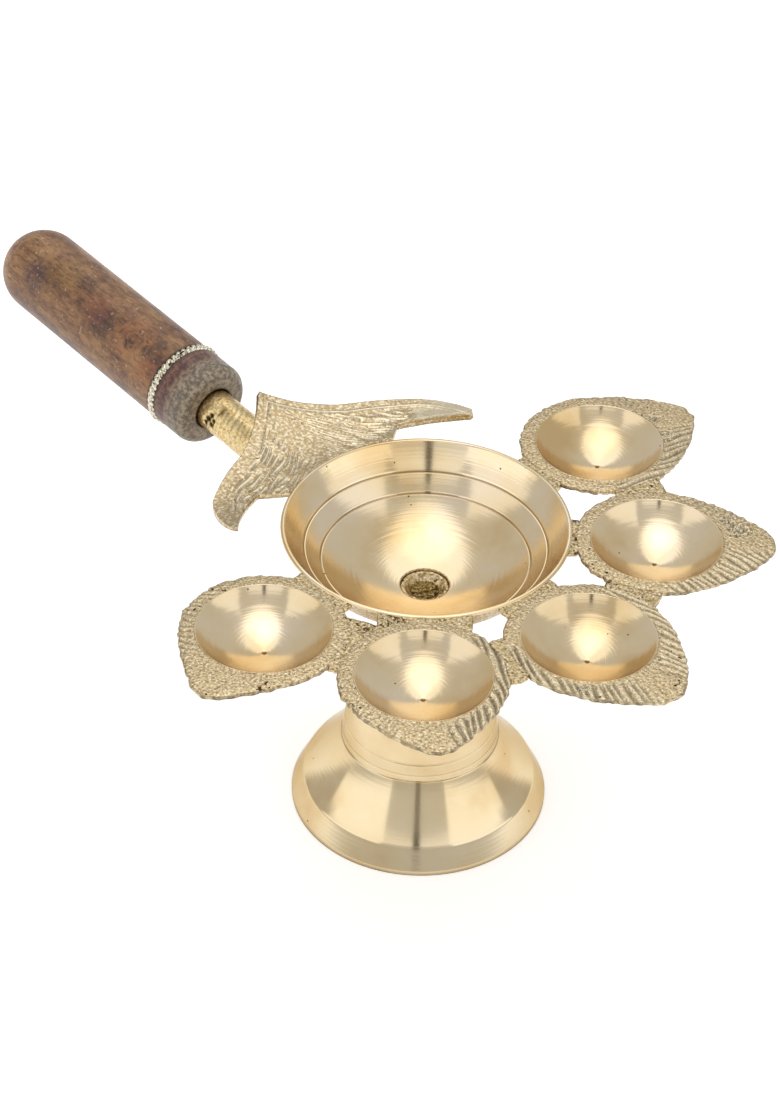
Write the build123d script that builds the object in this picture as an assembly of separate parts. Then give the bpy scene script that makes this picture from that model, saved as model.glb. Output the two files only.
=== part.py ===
"""Five-wick aarti lamp: a brass bowl with five leaf cups on a bell foot, carried by a wooden handle.

Millimetres, +Z up. The lamp stands on z = 0 about the Z axis, the middle leaf points along +X and the
handle runs back along -X.
"""

import math
import os

from build123d import *

# Bell foot, a hollow turned casting
foot_radius = 38.6  # at the floor
foot_edge = 1.0  # upright edge below the band
band_height = 7.9
band_inset = 3.5  # how far the band leans in
shoulder_height = 23.9  # where the bell meets the neck
shoulder_radius = 23.8
bell_hollow = 0.5  # how far the bell's curve dips below a straight line
shoulder_ledge = 0.6
waist_height = 62.0
waist_radius = 10.6
neck_lean = -0.1  # sideways run of the neck's line for each unit of rise, at the shoulder
seat_flare = 0.25  # and at the seat
foot_height = 75.2
seat_radius = 12.0  # flat top that carries the bowl
foot_wall = 2.8
hollow_height = 46.0  # how far the hollow reaches up inside

# Threaded stud between foot and bowl
stud_radius = 7.0
stud_depth = 17.0  # length inside the foot
stud_clearance = 0.06
stud_dish_radius = 5.9  # dished upper end, seen in the bowl floor
stud_dish_floor = 3.6
stud_dish_depth = 2.6

# Main bowl, cast and turned inside
bowl_radius = 41.4
bowl_lip = 1.4
bowl_depth = 22.4
bowl_floor = 2.4
boss_height = 3.9  # from the seat up to the bowl floor
groove_radii = (34.6, 29.9)  # two turned rings inside
groove_size = 0.45

# Leaf cups
petal_count = 5
cup_radius = 18.6
cup_depth = 9.0
cup_wall = 1.6
leaf_border = 4.6  # flat border round the cup
leaf_shoulder_angles = (54.0, 56.0, 72.0, 72.0, 70.0)  # degrees from each tip to where the round back ends
leaf_points = (13.3, 13.1, 15.4, 16.9, 15.5)  # from each cup's edge out to its leaf's tip
leaf_tip_radius = 3.4
leaf_thickness = 1.8
leaf_turns = (12.0, 9.0, 2.5, 2.0, -7.0)  # degrees by which each leaf was set askew

# Brazed joints
bowl_braze_gap = 0.5
petal_braze_gap = 1.5
braze_height = 1.8
braze_sink = 0.4  # below the lip
braze_reach_in = (13.4, 6.8, 4.4, 2.7)  # from where two leaves come closest, towards the bowl
braze_reach_out = (5.6, 8.3, 9.6, 10.0)  # and away from it
braze_half_widths = (8.6, 12.2, 8.6, 6.4, 7.4)  # between each leaf and the bowl

# Crest wing behind the bowl
wing_turn = -0.4  # degrees by which the wing was set askew
wing_thickness = 3.1
wing_depth = 20.3  # from the bowl's edge to the outer edge
wing_apex = 32.5  # from the bowl's edge to the rear point
wing_rear_hollow = 1.1  # inward curve of the rear edges
wing_shoulder_angle = 19.0  # degrees from the handle, where the outer edge begins
wing_bend_angle = 39.4  # where the outer edge turns in to the horn
horn_tip_angles = (56.8, 53.4)  # left and right horn, seen from the handle
horn_tip_reach = 12.2  # from the bowl's edge to each horn's tip before it is rounded
horn_tip_radius = 1.0
horn_bulge = 1.6  # outward curve of the horn's outer edge
horn_hollow = 1.6  # hollow of its inner edge
horn_root_angle = 32.0
horn_root_reach = 8.4
wing_hold_angle = 28.0  # half of the arc that touches the bowl
wing_bend_radius = 56.7  # the plate curls up towards its point
wing_low_line = 6.6  # from the bowl's edge back to the lowest line of the curl
wing_sink = 0.3

# Tang rod
handle_tilt = 5.0  # degrees of rise towards the far end
rod_drop = 20.1  # below the lip, at the lamp's axis
rod_radius = 6.3
rod_start = 18.0  # from the lamp's axis to the rod's end under the bowl
tang_radius = 4.0
tang_length = 42.0

# Wooden grip
grip_gap = 54.1  # from the bowl's edge to the wood
grip_length = 97.5
grip_radius = 13.25
grip_edge = 3.4
recess_depth = 2.0
recess_clearance = 0.9
cement_thickness = 0.9
cement_end = 2.0
groove_place = 14.0  # from the front face to the binding ring
ring_wire_radius = 1.1
ring_proud = 0.35
ring_clearance = 0.05

# Places that follow from the sizes above
rim_height = foot_height + boss_height + bowl_depth
leaf_half_width = cup_radius + leaf_border
petal_reach = bowl_radius + bowl_braze_gap + leaf_half_width
petal_pitch = math.degrees(2 * math.asin((leaf_half_width + petal_braze_gap / 2) / petal_reach))
least_leaf_gap = petal_braze_gap / 2
petal_angles = [petal_pitch * (number - (petal_count - 1) / 2) for number in range(petal_count)]
bowl_inside_radius = ((bowl_radius - bowl_lip) ** 2 + bowl_depth**2) / (2 * bowl_depth)
bowl_outside_depth = bowl_depth + bowl_floor
bowl_outside_radius = (bowl_radius**2 + bowl_outside_depth**2) / (2 * bowl_outside_depth)
cup_inside_radius = (cup_radius**2 + cup_depth**2) / (2 * cup_depth)
stud_bore = stud_radius + stud_clearance
stud_top = foot_height + boss_height
grip_start = bowl_radius + grip_gap
grip_axis = Plane(
    origin=(0, 0, rim_height - rod_drop),
    x_dir=(0, 1, 0),
    z_dir=(-math.cos(math.radians(handle_tilt)), 0, math.sin(math.radians(handle_tilt))),
)
tall = 4 * rim_height  # longer than any piece that is cut


def turned(profile):
    """A solid turned about Z from a closed line of edges in the XZ plane."""
    return revolve(Plane.XZ * make_face(profile), axis=Axis.Z)


def post(radius, bottom, length):
    """An upright cylinder on the lamp's axis."""
    return Pos(0, 0, bottom) * Cylinder(radius, length, align=(Align.CENTER, Align.CENTER, Align.MIN))


def polar(radius, angle):
    """A point in plan, with the angle counted from the handle's side."""
    turn = math.radians(180 - angle)
    return (radius * math.cos(turn), radius * math.sin(turn))


def bulged(start, end, bulge):
    """An arc from start to end whose middle stands off the straight line by bulge, to its left."""
    run = Vector(end[0] - start[0], end[1] - start[1])
    side = Vector(-run.Y, run.X).normalized() * bulge
    middle = ((start[0] + end[0]) / 2 + side.X, (start[1] + end[1]) / 2 + side.Y)
    return ThreePointArc(start, middle, end)


def bell_line(inset):
    """The bell's outer line from floor to shoulder, moved in by inset."""
    band_top = (foot_radius - band_inset - inset, band_height)
    shoulder = (shoulder_radius - inset, shoulder_height)
    edge = (foot_radius - inset, foot_edge)
    return [
        Line((foot_radius - inset, 0), edge),
        Line(edge, band_top),
        bulged(band_top, shoulder, bell_hollow),
    ]


def pedestal_foot():
    """Hollow bell and neck, with a threaded socket for the stud."""
    neck = (shoulder_radius - shoulder_ledge, shoulder_height)
    seat = (seat_radius, foot_height)
    outside = bell_line(0)
    outside += [
        Line((shoulder_radius, shoulder_height), neck),
        Spline(neck, (waist_radius, waist_height), seat, tangents=[(neck_lean, 1), (seat_flare, 1)]),
        Line(seat, (0, foot_height)),
        Line((0, foot_height), (0, 0)),
        Line((0, 0), (foot_radius, 0)),
    ]
    inside_shoulder = (shoulder_radius - foot_wall, shoulder_height)
    hollow_top = (stud_radius, hollow_height)
    inside = bell_line(foot_wall)
    inside += [
        bulged(inside_shoulder, hollow_top, -foot_wall),
        Line(hollow_top, (0, hollow_height)),
        Line((0, hollow_height), (0, 0)),
        Line((0, 0), (foot_radius - foot_wall, 0)),
    ]
    return turned(outside) - turned(inside) - post(stud_bore, foot_height - stud_depth, tall)


def joint_stud():
    """Threaded stud, dished at the end that shows in the bowl."""
    bottom = foot_height - stud_depth
    profile = Polyline(
        (0, bottom),
        (stud_radius, bottom),
        (stud_radius, stud_top),
        (stud_dish_radius, stud_top),
        (stud_dish_floor, stud_top - stud_dish_depth),
        (0, stud_top - stud_dish_depth),
        close=True,
    )
    return turned(profile)


def ball(radius, height):
    """A ball on the lamp's axis whose lowest point is at height."""
    return Pos(0, 0, height + radius) * Sphere(radius)


def below(height):
    """Everything under a height."""
    return Pos(0, 0, height) * Box(tall, tall, tall, align=(Align.CENTER, Align.CENTER, Align.MAX))


def bowl_outside():
    """The bowl's outer form, filled."""
    cap = ball(bowl_outside_radius, rim_height - bowl_outside_depth) & below(rim_height)
    return cap + post(seat_radius, foot_height, boss_height + bowl_floor)


def main_bowl():
    """Spherical bowl with a flat lip, two turned rings and a hole for the stud."""
    inside = ball(bowl_inside_radius, rim_height - bowl_depth)
    bowl = bowl_outside() - inside - Cylinder(stud_bore, tall)
    centre_height = rim_height - bowl_depth + bowl_inside_radius
    for radius in groove_radii:
        height = centre_height - math.sqrt(bowl_inside_radius**2 - radius**2)
        bowl -= Pos(0, 0, height) * Torus(radius, groove_size)
    return bowl


def bowl_room():
    """What the bowl takes up, carried on straight up from its edge."""
    return bowl_outside() + post(bowl_radius, rim_height, tall)


def leaf_face(number):
    """Round at the back, with two arcs that meet in a blunt tip along +X."""
    turn = math.radians(leaf_shoulder_angles[number])
    along = leaf_half_width * math.cos(turn)
    across = leaf_half_width * math.sin(turn)
    tip = (cup_radius + leaf_points[number], 0)
    outline = [
        ThreePointArc((along, across), (-leaf_half_width, 0), (along, -across)),
        TangentArc((along, -across), tip, tangent=(across, along)),
        TangentArc((along, across), tip, tangent=(across, -along)),
    ]
    face = make_face(outline)
    corner = face.vertices().sort_by(Axis.X)[-1]
    return fillet(corner, leaf_tip_radius)


def wedge():
    """The sector that belongs to one leaf, short of its neighbours by half the leaf gap all round."""
    half_pitch = math.radians(petal_pitch / 2)
    start = least_leaf_gap / 2 / math.sin(half_pitch)
    side = tall * math.tan(half_pitch)
    outline = Polyline((start, 0), (start + tall, side), (start + tall, -side), close=True)
    return extrude(make_face(outline), rim_height)


def leaf_place(number):
    """Where a leaf stands, turned to its own direction."""
    return Rot(0, 0, petal_angles[number]) * Pos(petal_reach, 0, 0) * Rot(0, 0, leaf_turns[number])


def leaf_room(number):
    """What a leaf takes up in plan, as an upright block within its own sector."""
    block = leaf_place(number) * extrude(leaf_face(number), rim_height)
    return block & (Rot(0, 0, petal_angles[number]) * wedge())


def petal_cup(number):
    """One leaf with its turned cup, cut back to its own sector and to the bowl."""
    cup_bottom = rim_height - cup_depth
    shell = ball(cup_inside_radius + cup_wall, cup_bottom - cup_wall) & below(rim_height)
    cup = leaf_place(number) * (shell - ball(cup_inside_radius, cup_bottom))
    hollow = leaf_place(number) * ball(cup_inside_radius, cup_bottom)
    plate = leaf_room(number) - below(rim_height - leaf_thickness) - hollow
    return plate + cup - bowl_room()


def braze_bar(start, end, half_width):
    """A bar of braze along +X from start to end."""
    base = Pos((start + end) / 2, 0, rim_height - braze_sink)
    middle_top = (Align.CENTER, Align.CENTER, Align.MAX)
    return base * Box(end - start, 2 * half_width, braze_height, align=middle_top)


def leaf_braze(number):
    """Braze in the gap between a leaf and the next one."""
    closest = petal_reach * math.cos(math.radians(petal_pitch / 2))
    start = closest - braze_reach_in[number]
    end = closest + braze_reach_out[number]
    bar = braze_bar(start, end, leaf_border + petal_braze_gap)
    angle = petal_angles[number] + petal_pitch / 2
    return Rot(0, 0, angle) * bar - leaf_room(number) - leaf_room(number + 1)


def bowl_braze(number):
    """Braze in the gap between a leaf and the bowl."""
    bar = braze_bar(bowl_radius / 2, petal_reach - cup_radius, braze_half_widths[number])
    return Rot(0, 0, petal_angles[number]) * bar - leaf_room(number) - bowl_room()


def wing_face():
    """Plan of the wing: rear point, outer edge round the bowl, and two blunt horns."""
    outer = bowl_radius + wing_depth
    outline = []
    for side, tip_angle in zip((1, -1), horn_tip_angles):
        apex = (-bowl_radius - wing_apex, 0)
        shoulder = polar(outer, side * wing_shoulder_angle)
        middle = polar(outer, side * (wing_shoulder_angle + wing_bend_angle) / 2)
        bend = polar(outer, side * wing_bend_angle)
        tip = polar(bowl_radius + horn_tip_reach, side * tip_angle)
        root = polar(bowl_radius + horn_root_reach, side * horn_root_angle)
        hold = polar(bowl_radius, side * wing_hold_angle)
        outline += [
            bulged(apex, shoulder, -side * wing_rear_hollow),
            ThreePointArc(shoulder, middle, bend),
            bulged(bend, tip, side * horn_bulge),
            bulged(tip, root, -side * horn_hollow),
            Line(root, hold),
            Line(hold, (0, 0)),
        ]
    face = make_face(outline)
    by_width = face.vertices().sort_by(Axis.Y)
    return fillet([by_width[0], by_width[-1]], horn_tip_radius)


def crest_wing():
    """Curled plate brazed against the back of the bowl."""
    low_x = -bowl_radius - wing_low_line
    low_z = rim_height - wing_sink
    curl_axis = Pos(low_x, 0, low_z + wing_bend_radius) * Rot(90, 0, 0)
    curl = curl_axis * (Cylinder(wing_bend_radius + wing_thickness, tall) - Cylinder(wing_bend_radius, tall))
    plan = extrude(wing_face(), low_z + wing_bend_radius)
    return Rot(0, 0, wing_turn) * (plan & curl) - bowl_room()


def along_grip(piece):
    """Moves a piece that was made along Z onto the handle's axis, counted from the lamp's axis."""
    return grip_axis.location * piece


def straight_rod():
    """The rod and its tang before the rod is fitted to the bowl."""
    shoulder = grip_start + recess_depth
    end = grip_start + tang_length
    profile = Polyline(
        (0, rod_start),
        (rod_radius, rod_start),
        (rod_radius, shoulder),
        (tang_radius, shoulder),
        (tang_radius, end),
        (0, end),
        close=True,
    )
    return turned(profile)


def tang_rod():
    """Cast rod from the bowl's wall, with a thinner tang inside the wood."""
    return along_grip(straight_rod()) - bowl_room()


def handle_grip():
    """Turned wooden grip with a half-ball end, a groove, a recess round the rod and a blind bore."""
    end = grip_start + grip_length
    dome = end - grip_radius
    bore = tang_radius + cement_thickness
    bore_end = grip_start + tang_length + cement_end
    recess = rod_radius + recess_clearance
    floor = grip_start + recess_depth
    edge = (grip_radius - grip_edge, grip_start)
    side = (grip_radius, grip_start + grip_edge)
    profile = [
        Polyline(
            (0, end),
            (0, bore_end),
            (bore, bore_end),
            (bore, floor),
            (recess, floor),
            (recess, grip_start),
            edge,
        ),
        TangentArc(edge, side, tangent=(1, 0)),
        Line(side, (grip_radius, dome)),
        TangentArc((grip_radius, dome), (0, end), tangent=(0, 1)),
    ]
    return along_grip(turned(profile) - straight_ring(ring_wire_radius + ring_clearance))


def straight_ring(wire_radius):
    """A ring in the grip's groove, of the given wire radius."""
    ring_radius = grip_radius + ring_proud - ring_wire_radius
    return Pos(0, 0, grip_start + groove_place) * Torus(ring_radius, wire_radius)


def binding_ring():
    """Ring of twisted brass wire that binds the wood near its front end."""
    return along_grip(straight_ring(ring_wire_radius))


def tang_cement():
    """Lac cement that fills the bore round the tang."""
    bore = tang_radius + cement_thickness
    bore_end = grip_start + tang_length + cement_end
    floor = grip_start + recess_depth
    profile = Polyline((0, floor), (bore, floor), (bore, bore_end), (0, bore_end), close=True)
    return along_grip(turned(profile) - straight_rod())


def main():
    pieces = {
        "pedestal_foot": pedestal_foot(),
        "joint_stud": joint_stud(),
        "main_bowl": main_bowl(),
        "crest_wing": crest_wing(),
        "tang_rod": tang_rod(),
        "tang_cement": tang_cement(),
        "handle_grip": handle_grip(),
        "binding_ring": binding_ring(),
    }
    for number in range(petal_count):
        pieces[f"petal_cup_{number + 1}"] = petal_cup(number)
        pieces[f"bowl_braze_{number + 1}"] = bowl_braze(number)
    for number in range(petal_count - 1):
        pieces[f"leaf_braze_{number + 1}"] = leaf_braze(number)
    os.makedirs("parts", exist_ok=True)
    for name, piece in pieces.items():
        export_step(piece, f"parts/{name}.step")


main()
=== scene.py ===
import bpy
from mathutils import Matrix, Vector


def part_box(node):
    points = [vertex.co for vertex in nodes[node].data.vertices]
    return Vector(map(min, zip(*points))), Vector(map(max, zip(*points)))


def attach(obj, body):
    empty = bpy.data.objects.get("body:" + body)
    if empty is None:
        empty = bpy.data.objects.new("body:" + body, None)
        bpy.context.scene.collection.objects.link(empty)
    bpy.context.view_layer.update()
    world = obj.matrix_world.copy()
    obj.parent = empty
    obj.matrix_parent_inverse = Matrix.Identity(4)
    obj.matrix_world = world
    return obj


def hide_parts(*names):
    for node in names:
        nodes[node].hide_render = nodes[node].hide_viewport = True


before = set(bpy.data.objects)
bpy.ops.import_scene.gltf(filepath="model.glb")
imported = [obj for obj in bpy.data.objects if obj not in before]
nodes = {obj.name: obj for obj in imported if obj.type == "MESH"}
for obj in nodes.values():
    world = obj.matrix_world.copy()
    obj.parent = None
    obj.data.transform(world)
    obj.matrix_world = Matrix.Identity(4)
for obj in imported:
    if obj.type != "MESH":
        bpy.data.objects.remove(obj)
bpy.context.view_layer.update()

import math
from functools import partial

import bmesh
import bpy
import numpy as np
from mathutils import Matrix, Vector
from mathutils.geometry import interpolate_bezier

mm = 0.001
weld = 0.001 * mm  # points that are closer are one
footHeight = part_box("pedestal_foot")[1][2] / mm
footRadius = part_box("pedestal_foot")[1][0] / mm
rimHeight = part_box("main_bowl")[1][2] / mm
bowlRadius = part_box("main_bowl")[1][0] / mm
nodeFamilies = ("ShaderNode", "GeometryNode", "FunctionNode", "")


def linear(code):  # sRGB hex to the linear colour that a shader takes
    parts = [int(code[i:i + 2], 16) / 255 for i in (0, 2, 4)]
    return (*[p / 12.92 if p <= 0.04045 else ((p + 0.055) / 1.055) ** 2.4 for p in parts], 1)


def addNode(tree, kind, inputs=(), stops=(), **settings):  # one node, such as "Math ADD"
    kind, *operation = kind.split()
    if operation:
        settings["operation"] = operation[0]
    node = tree.nodes.new(next(f + kind for f in nodeFamilies if hasattr(bpy.types, f + kind)))
    for name, value in settings.items():
        setattr(node, name, value)
    for name, value in inputs.items() if isinstance(inputs, dict) else enumerate(inputs):
        if isinstance(value, bpy.types.Node):
            value = value.outputs[0]
        if isinstance(value, bpy.types.NodeSocket):
            tree.links.new(value, node.inputs[name])
        else:
            node.inputs[name].default_value = value
    if stops:
        ramp = node.color_ramp
        ramp.elements.remove(ramp.elements[1])
        ramp.elements[0].position, ramp.elements[0].color = stops[0][0], linear(stops[0][1])
        for place, code in stops[1:]:
            ramp.elements.new(place).color = linear(code)
    return node


def newMaterial(name):
    material = bpy.data.materials.new(name)
    material.use_nodes = True
    material.node_tree.nodes.clear()
    return material, partial(addNode, material.node_tree)


def newTree(name, **sockets):  # an empty node tree, with the names of its inputs for each kind of socket
    tree = bpy.data.node_groups.new(name, "GeometryNodeTree")
    tree.interface.new_socket("Result", in_out="OUTPUT", socket_type="NodeSocketGeometry")
    for kind, labels in sockets.items():
        for label in labels:
            tree.interface.new_socket(label, in_out="INPUT", socket_type="NodeSocket" + kind)
    return tree, partial(addNode, tree), tree.nodes.new("NodeGroupInput").outputs


def closeTree(add, shape, material, turnedMaterial=None):  # every tree ends in the same way
    smooth = add("SetShadeSmooth", {"Geometry": shape})
    real = add("GeometryNodeRealizeInstances", {0: smooth})
    painted = add("GeometryNodeSetMaterial", {"Geometry": real, "Material": material})
    if turnedMaterial is not None:
        turned = add("InputNamedAttribute", {"Name": "turned"}, data_type="BOOLEAN")
        painted = add("GeometryNodeSetMaterial",
                      {"Geometry": painted, "Selection": turned, "Material": turnedMaterial})
    add("NodeGroupOutput", {0: painted})


def newPiece(name, mesh):
    piece = bpy.data.objects.new(name, mesh)
    bpy.context.scene.collection.objects.link(piece)
    return piece


def outwards(mesh):
    shape = bmesh.new()
    shape.from_mesh(mesh)
    bmesh.ops.recalc_face_normals(shape, faces=shape.faces)
    shape.to_mesh(mesh)
    shape.free()


def grow(piece, tree, values):  # runs a node tree on a piece and keeps the result as a plain mesh
    modifier = piece.modifiers.new(tree.name, "NODES")
    modifier.node_group = tree
    for item in tree.interface.items_tree:
        if item.in_out == "INPUT" and item.name in values:
            modifier[item.identifier] = values[item.name]
    graph = bpy.context.evaluated_depsgraph_get()
    mesh = bpy.data.meshes.new_from_object(piece.evaluated_get(graph), depsgraph=graph)
    piece.modifiers.remove(modifier)
    old, piece.data = piece.data, mesh
    bpy.data.meshes.remove(old)
    mesh.name = piece.name
    outwards(mesh)
    return piece


def finishPiece(piece, body, node):
    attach(piece, body)
    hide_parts(node)


def ringMesh(name, rings, top, bottom):  # closed rings of points, with a point over each end
    count, steps = rings.shape[:2]
    index = np.arange(count * steps).reshape(count, steps)
    after = np.roll(index, -1, axis=1)
    faces = np.stack([index[:-1], after[:-1], after[1:], index[1:]], -1).reshape(-1, 4).tolist()
    faces += [(count * steps, b, a) for a, b in zip(index[0], after[0])]
    faces += [(count * steps + 1, a, b) for a, b in zip(index[-1], after[-1])]
    mesh = bpy.data.meshes.new(name)
    mesh.from_pydata((np.vstack([rings.reshape(-1, 3), top, bottom]) * mm).tolist(), [], faces)
    return mesh


def setValues(mesh, **named):  # on the points, or on the faces if true or false; none on the ends
    for name, values in named.items():
        values = np.ravel(values)
        flags = values.dtype == bool
        total = len(mesh.polygons if flags else mesh.vertices)
        values = np.concatenate([values, np.zeros(total - len(values), values.dtype)])
        kind, domain = ("BOOLEAN", "FACE") if flags else ("FLOAT", "POINT")
        mesh.attributes.new(name, kind, domain).data.foreach_set("value", values)


def pointsOf(piece):  # in mm
    return np.array([v.co for v in piece.data.vertices]) / mm


def lengthAlong(line):  # from the start of a line to each of its points
    return np.concatenate([[0], np.cumsum(np.hypot(*np.diff(line, axis=0).T))])


def wobble(angles, seed, low, high, size):  # smooth closed unevenness round a turn
    chance = np.random.default_rng(seed)
    total = np.zeros_like(angles)
    for k in range(low, high):
        total += chance.normal() * np.sin(k * angles + chance.uniform(0, math.tau)) / math.sqrt(k)
    return size * total / max(1e-9, total.std())


def arcLine(start, end, bulge, steps):  # arc whose middle stands off the straight line by bulge, to its left
    start, end = np.array(start, float), np.array(end, float)
    run = end - start
    length = np.hypot(*run)
    share = np.linspace(0, 1, steps)[:, None]
    if abs(bulge) < 1e-6:
        return start + share * run
    forward, side = run / length, np.array([-run[1], run[0]]) / length
    radius = ((length / 2) ** 2 + bulge ** 2) / (2 * bulge)
    centre = (start + end) / 2 + side * (bulge - radius)
    sweep = math.asin(length / 2 / abs(radius)) * (2 * share - 1)
    return centre + abs(radius) * np.sin(sweep) * forward + radius * np.cos(sweep) * side


def standing(x, y, z, place):  # matrix of an object with these axes at this place
    return Matrix.Translation(place) @ Matrix((x, y, z)).transposed().to_4x4()


# camera: fitted to the photograph's rims, in millimetres and pixels of a 780 x 1108 frame
camera = {"aim": (0, 0, 45), "turn": 46.32, "height": 40.86, "distance": 860.44, "roll": 1.87,
          "focal": 2911.3, "middle": (421.73, 675.21), "frame": (780, 1108)}


def placeCamera():
    turn, height, roll = (math.radians(camera[k]) for k in ("turn", "height", "roll"))
    back = Vector((math.sin(turn) * math.cos(height), -math.cos(turn) * math.cos(height), math.sin(height)))
    right = Vector((math.cos(turn), math.sin(turn), 0))
    up = back.cross(right)
    across = math.cos(roll) * right + math.sin(roll) * up
    upright = -math.sin(roll) * right + math.cos(roll) * up
    data = bpy.data.cameras.new("camera")
    width, tall = camera["frame"]
    data.sensor_width = 36
    data.lens = camera["focal"] / tall * data.sensor_width
    data.shift_x = (width / 2 - camera["middle"][0]) / tall
    data.shift_y = (camera["middle"][1] - tall / 2) / tall
    data.clip_start = 0.01
    eye = bpy.data.objects.new("camera", data)
    eye.matrix_world = standing(across, upright, back,
                                (Vector(camera["aim"]) + back * camera["distance"]) * mm)
    bpy.context.scene.collection.objects.link(eye)
    bpy.context.scene.camera = eye


placeCamera()
print("camera placed")

# studio: on each side a low soft-box and one that leans back over the lamp, two dim ones behind the camera,
# a strip overhead that is brightest over the lamp, a white sweep and a dark camera on its stand.
# Places are metres towards the camera, to its right and up; levels are what a mirror shows.
# Fronts: from, height, level. Discs: radius, level, height. Cards: colour, from, to, half width
studio = {"skyLevel": 0.60, "backdrop": (0.0, 0.05), "floorColour": "F4F4F4", "floorGlow": 0.42,
          "floorHalf": 4.0, "aim": 0.09, "low": (1.272, 0.795, 0.29), "lowRun": (-0.342, 0.94),
          "lowSize": (4.0, 0.88), "lowLevel": 0.58, "high": (0.95, 0.75, 0.945),
          "highEnd": (0.083, 0.552, 1.168), "highWidth": 2.4, "highLevel": 0.35,
          "fronts": (("lowFront", 0.6, 0.75, 0.09), ("highFront", 1.35, 1.4, 0.36)), "frontPlace": 1.8,
          "frontWidth": 2.3, "strip": (-2.4, -0.7, 1.5), "stripSize": (1.4, 2.9), "stripLevel": 0.54,
          "discs": ((0.56, 0.14, 1.47), (0.4, 0.15, 1.44), (0.24, 0.2, 1.41)), "discBack": 0.25,
          "cards": (("cameraBody", "4E4842", 0.80, 2.0, 0.065), ("cameraStand", "98948E", 0.2, 0.80, 0.06)),
          "cardPlace": 1.15}


def softBox(name, corner, across, upwards, level, shape="RECTANGLE"):
    lamp = bpy.data.lights.new(name, "AREA")
    lamp.shape = shape
    lamp.size, lamp.size_y = across.length, upwards.length
    area = across.length * upwards.length * (1 if shape == "RECTANGLE" else math.pi / 4)
    lamp.energy = level * 4 * area  # so that a mirror shows the level
    box = bpy.data.objects.new(name, lamp)
    middle = corner + (across + upwards) / 2
    back = across.cross(upwards).normalized()
    if back.dot(middle) < 0:  # a lamp shines backwards along its own Z
        across, back = -across, -back
    box.matrix_world = standing(across.normalized(), upwards.normalized(), back, middle)
    box.visible_camera = False
    bpy.context.scene.collection.objects.link(box)


def whoLooks(add):  # the camera's own rays, and those that were mirrored or let through
    rays = add("ShaderNodeLightPath").outputs
    return rays["Is Camera Ray"], add("Math MAXIMUM", (rays["Is Glossy Ray"], rays["Is Transmission Ray"]))


def flatCard(name, corners, material):
    mesh = bpy.data.meshes.new(name)
    mesh.from_pydata(corners, [], [(0, 1, 2, 3)])
    mesh.materials.append(material)
    return newPiece(name, mesh)


def buildStudio():
    turn = math.radians(camera["turn"])
    forward = Vector((math.sin(turn), -math.cos(turn), 0))  # from the lamp towards the camera
    right = Vector((math.cos(turn), math.sin(turn), 0))
    up = Vector((0, 0, 1))
    aim = up * studio["aim"]

    def spot(ahead, aside, above=0.0, side=1):
        return forward * ahead + right * side * aside + up * above

    for name, side in (("Left", -1), ("Right", 1)):
        wide, tall = studio["lowSize"]
        run = spot(*studio["lowRun"], side=side) * wide
        softBox("softBoxLow" + name, aim + spot(*studio["low"], side), run, up * tall, studio["lowLevel"])
        low = spot(*studio["high"], side)
        edge = spot(*studio["highEnd"], side) - low
        out = right * side - edge * (right * side).dot(edge) / edge.length_squared
        softBox("softBoxHigh" + name, aim + low, out.normalized() * studio["highWidth"], edge,
                studio["highLevel"])
    wide = studio["frontWidth"]
    for name, low, tall, level in studio["fronts"]:
        softBox(name, spot(studio["frontPlace"], -wide / 2, low), right * wide, up * tall, level)
    wide, long = studio["stripSize"]
    softBox("softBoxTop", aim + spot(*studio["strip"]), right * wide, forward * long, studio["stripLevel"],
            "ELLIPSE")
    for number, (radius, level, height) in enumerate(studio["discs"]):
        corner = aim + spot(-studio["discBack"] - radius, -radius, height)
        softBox(f"softBoxDisc{number + 1}", corner, right * 2 * radius, forward * 2 * radius, level,
                "ELLIPSE")

    world = bpy.data.worlds.new("studio")
    bpy.context.scene.world = world
    world.use_nodes = True
    world.node_tree.nodes.clear()
    add = partial(addNode, world.node_tree)
    camerasOwn, mirrored = whoLooks(add)
    way = add("SeparateXYZ", (add("TexCoord").outputs["Generated"],))
    fade = add("MapRange", (way.outputs["Z"], *studio["backdrop"][::-1]))  # white only low down
    shown = add("Math MAXIMUM", (camerasOwn, add("Math MULTIPLY", (mirrored, fade))))
    grey, white = (add("Background", {"Color": (1, 1, 1, 1), "Strength": level})
                   for level in (studio["skyLevel"], 1))
    add("OutputWorld", {"Surface": add("MixShader", (shown, grey, white))})

    material, add = newMaterial("paintedSweep")  # matt white paint
    paint = add("BsdfDiffuse", {"Color": linear(studio["floorColour"])})
    shine = add("Math MULTIPLY", (add("Math MAXIMUM", whoLooks(add)), studio["floorGlow"]))
    glow = add("Emission", {"Color": (1, 1, 1, 1), "Strength": shine})
    add("OutputMaterial", {"Surface": add("AddShader", (paint, glow))})
    half = studio["floorHalf"]
    flatCard("floor", [(-half, -half, 0), (half, -half, 0), (half, half, 0), (-half, half, 0)],
                      material)

    for name, colour, low, high, half in studio["cards"]:
        material, add = newMaterial("painted" + name[0].upper() + name[1:])  # dark paint, seen in the brass
        add("OutputMaterial", {"Surface": add("BsdfDiffuse", {"Color": linear(colour)})})
        corners = ((-half, low), (half, low), (half, high), (-half, high))
        card = flatCard(name, [spot(studio["cardPlace"], *corner) for corner in corners], material)
        card.visible_camera = card.visible_shadow = card.visible_diffuse = False
    bpy.context.scene.view_settings.view_transform = "Standard"


buildStudio()
print("studio lit")

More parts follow.
